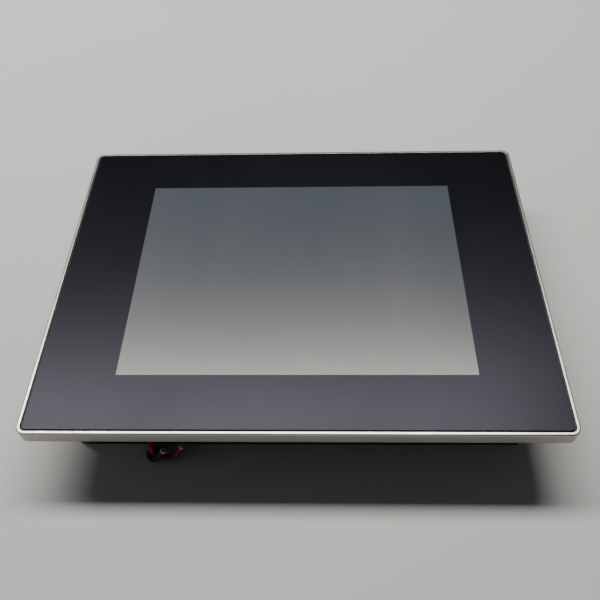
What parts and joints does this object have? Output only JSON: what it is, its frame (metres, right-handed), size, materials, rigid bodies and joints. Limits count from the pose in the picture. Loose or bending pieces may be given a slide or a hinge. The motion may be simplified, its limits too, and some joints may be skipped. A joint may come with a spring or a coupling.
{
  "type": "hmi touch panel",
  "caption": "Flat operator touch panel with a slim metal front frame, black-bordered screen and shallow rear housing for mounting in a cabinet door cut-out.",
  "frame": {"origin": "middle of the footprint, in the plane that the back of the housing rests on", "axes": "+Z out of the screen, +Y towards the screen top edge, +X to the screen right"},
  "size_m": [0.311, 0.235, 0.05],
  "materials": {
    "frame_metal": "satin clear anodised",
    "gasket_rubber": "closed-cell sealing strip",
    "overlay_print": "fine matte printed film",
    "screen_film": "anti-glare film over an unlit display",
    "flex_film": "polyimide",
    "sheet_steel": "zinc-plated sheet",
    "cell_glass": "dark liquid-crystal cell",
    "light_plastic": "white moulding",
    "housing_plastic": "spark-textured moulding",
    "fastener_steel": "zinc-plated",
    "lever_zinc": "zinc die casting",
    "board_laminate": "green solder mask",
    "chip_resin": "moulded resin",
    "heat_sink_metal": "black anodised",
    "can_metal": "bright can",
    "port_metal": "nickel-plated shell",
    "contact_brass": "plated contact",
    "insulator_plastic": "moulded insulator",
    "button_plastic": "moulded",
    "red_sleeve": "wire insulation",
    "black_sleeve": "wire insulation"
  },
  "bodies": {
    "panel_unit": {"front_frame": "frame_metal", "panel_gasket": "gasket_rubber", "foam_gasket": "gasket_rubber", "front_overlay": "overlay_print", "overlay_adhesive": "overlay_print", "window_film": "screen_film", "touch_sensor": "screen_film", "touch_tail": "flex_film", "display_cable": "flex_film", "lcd_bezel": "sheet_steel", "chassis_plate": "sheet_steel", "back_cover": "sheet_steel", "lcd_glass": "cell_glass", "backlight_unit": "light_plastic", "rating_label": "light_plastic", "rear_housing": "housing_plastic", "hex_standoffs": "fastener_steel", "cover_screws": "fastener_steel", "clamp_screws": "fastener_steel", "board_spacers": "fastener_steel", "board_screws": "fastener_steel", "jack_screws": "fastener_steel", "earth_stud": "fastener_steel", "earth_nut": "fastener_steel", "door_pin": "fastener_steel", "main_board": "board_laminate", "processor": "chip_resin", "memory_chips": "chip_resin", "inductors": "chip_resin", "reset_switch": "chip_resin", "heat_sink": "heat_sink_metal", "capacitors": "can_metal", "network_port_left": "port_metal", "network_port_right": "port_metal", "usb_port_left": "port_metal", "usb_port_right": "port_metal", "serial_shell": "port_metal", "card_socket": "port_metal", "coin_cell": "port_metal", "serial_pins": "contact_brass", "header_pins": "contact_brass", "usb_tongues": "insulator_plastic", "serial_insert": "insulator_plastic", "cell_holder": "insulator_plastic", "power_header": "insulator_plastic"},
    "power_connector": {"power_plug": "insulator_plastic", "wire_cages": "contact_brass", "plug_screws": "fastener_steel", "plug_lock_screws": "fastener_steel", "wire_red": "red_sleeve", "wire_black": "black_sleeve"},
    "service_door": {"service_door": "housing_plastic"},
    "memory_card": {"memory_card": "insulator_plastic"},
    "reset_button": {"reset_button": "button_plastic"},
    "clamp_lever_1": {"clamp_lever_1": "lever_zinc"},
    "clamp_lever_2": {"clamp_lever_2": "lever_zinc"},
    "clamp_lever_3": {"clamp_lever_3": "lever_zinc"},
    "clamp_lever_4": {"clamp_lever_4": "lever_zinc"},
    "clamp_lever_5": {"clamp_lever_5": "lever_zinc"},
    "clamp_lever_6": {"clamp_lever_6": "lever_zinc"}
  },
  "joints": [
    {"name": "clamp_lever_1_turn", "type": "hinge", "parent": "panel_unit", "child": "clamp_lever_1", "pos_m": [-0.127, -0.094, 0.031], "axis": [0, 0, -1], "range_deg": [0, 90]},
    {"name": "clamp_lever_2_turn", "type": "hinge", "parent": "panel_unit", "child": "clamp_lever_2", "pos_m": [0.127, -0.094, 0.031], "axis": [0, 0, 1], "range_deg": [0, 90]},
    {"name": "clamp_lever_3_turn", "type": "hinge", "parent": "panel_unit", "child": "clamp_lever_3", "pos_m": [-0.127, 0.094, 0.031], "axis": [0, 0, 1], "range_deg": [0, 90]},
    {"name": "clamp_lever_4_turn", "type": "hinge", "parent": "panel_unit", "child": "clamp_lever_4", "pos_m": [0.127, 0.094, 0.031], "axis": [0, 0, -1], "range_deg": [0, 90]},
    {"name": "clamp_lever_5_turn", "type": "hinge", "parent": "panel_unit", "child": "clamp_lever_5", "pos_m": [-0.133, 0.009, 0.031], "axis": [0, 0, -1], "range_deg": [0, 90]},
    {"name": "clamp_lever_6_turn", "type": "hinge", "parent": "panel_unit", "child": "clamp_lever_6", "pos_m": [0.133, 0.009, 0.031], "axis": [0, 0, 1], "range_deg": [0, 90]},
    {"name": "service_door_swing", "type": "hinge", "parent": "panel_unit", "child": "service_door", "pos_m": [0.079, -0.0982, 0.0104], "axis": [1, 0, 0], "range_deg": [0, 85]},
    {"name": "memory_card_push", "type": "slide", "parent": "panel_unit", "child": "memory_card", "axis": [0, 1, 0], "range_m": [-0.002, 0.0005]},
    {"name": "reset_button_press", "type": "slide", "parent": "panel_unit", "child": "reset_button", "axis": [0, 1, 0], "range_m": [0, 0.0005], "stiffness_N_per_m": 2000, "springref_m": -0.0003},
    {"name": "power_connector_unplug", "type": "slide", "parent": "panel_unit", "child": "power_connector", "axis": [0, -1, 0], "range_m": [0, 0.011]}
  ]
}
